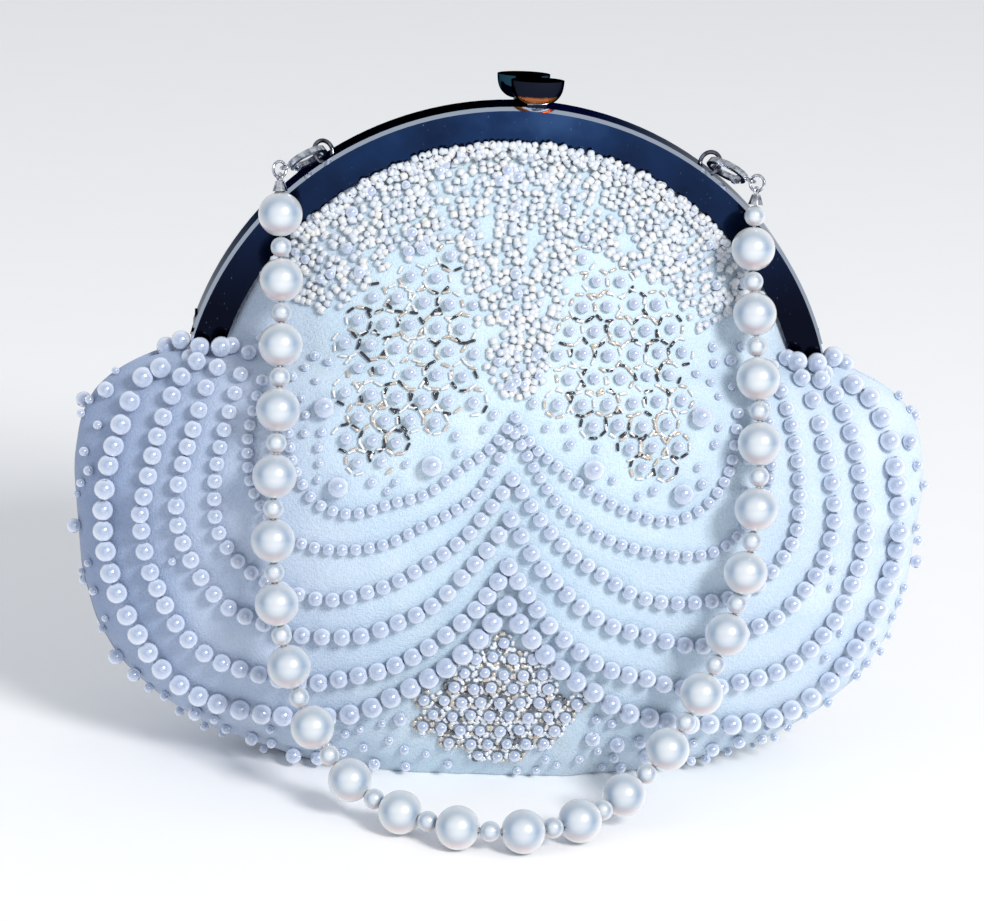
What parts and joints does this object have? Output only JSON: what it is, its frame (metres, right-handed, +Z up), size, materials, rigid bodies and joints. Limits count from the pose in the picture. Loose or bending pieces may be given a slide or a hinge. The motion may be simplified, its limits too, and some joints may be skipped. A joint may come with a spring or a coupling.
{
  "type": "evening bag",
  "caption": "Padded evening bag on a hinged arched metal frame with a kiss lock, and a bead strand clasped to two loops on the frame.",
  "frame": {"origin": "middle of the flat base, on the surface that the bag stands on", "axes": "+X along the bag's width to the viewer's right, +Y towards the back, +Z up towards the kiss lock"},
  "size_m": [0.223, 0.1123, 0.1829],
  "materials": {
    "polished_metal": "polished",
    "clasp_metal": "polished",
    "crepe": "fine crepe",
    "wadding": "soft",
    "lining": "satin",
    "board": "plain",
    "paper_cord": "plain",
    "pearl": "pearl lustre",
    "bead_cord": "twisted"
  },
  "bodies": {
    "bag": {"front_frame": "polished_metal", "front_kiss_knob": "polished_metal", "left_hinge_rivet": "polished_metal", "right_hinge_rivet": "polished_metal", "left_handle_loop": "polished_metal", "right_handle_loop": "polished_metal", "left_clasp_body": "clasp_metal", "left_clasp_pin": "clasp_metal", "left_clasp_spring": "clasp_metal", "left_jump_ring": "clasp_metal", "left_bead_tip": "clasp_metal", "right_clasp_body": "clasp_metal", "right_clasp_pin": "clasp_metal", "right_clasp_spring": "clasp_metal", "right_jump_ring": "clasp_metal", "right_bead_tip": "clasp_metal", "front_panel": "crepe", "back_panel": "crepe", "front_yoke": "crepe", "front_wadding": "wadding", "back_wadding": "wadding", "front_lining": "lining", "back_lining": "lining", "front_yoke_lining": "lining", "base_board": "board", "front_paper_cord": "paper_cord", "large_pearls": "pearl", "small_pearls": "pearl", "strand_cord": "bead_cord"},
    "back_half": {"back_frame": "polished_metal", "back_kiss_knob": "polished_metal", "back_yoke": "crepe", "back_yoke_lining": "lining", "back_paper_cord": "paper_cord"},
    "left_trigger": {"left_clasp_trigger": "clasp_metal"},
    "right_trigger": {"right_clasp_trigger": "clasp_metal"}
  },
  "joints": [
    {"name": "frame_hinge", "type": "hinge", "parent": "bag", "child": "back_half", "pos_m": [0, 0, 0.1115], "axis": [-1, 0, 0], "range_deg": [0, 55]},
    {"name": "left_clasp_gate", "type": "hinge", "parent": "bag", "child": "left_trigger", "pos_m": [-0.05635, -0.00686, 0.15946], "axis": [0.5874, -0.528, -0.6133], "range_deg": [0, 18], "stiffness_Nm_per_rad": 0.0005, "springref_deg": -17.19},
    {"name": "right_clasp_gate", "type": "hinge", "parent": "bag", "child": "right_trigger", "pos_m": [0.05635, -0.00686, 0.15946], "axis": [0.5874, 0.528, 0.6133], "range_deg": [0, 18], "stiffness_Nm_per_rad": 0.0005, "springref_deg": -17.19}
  ]
}
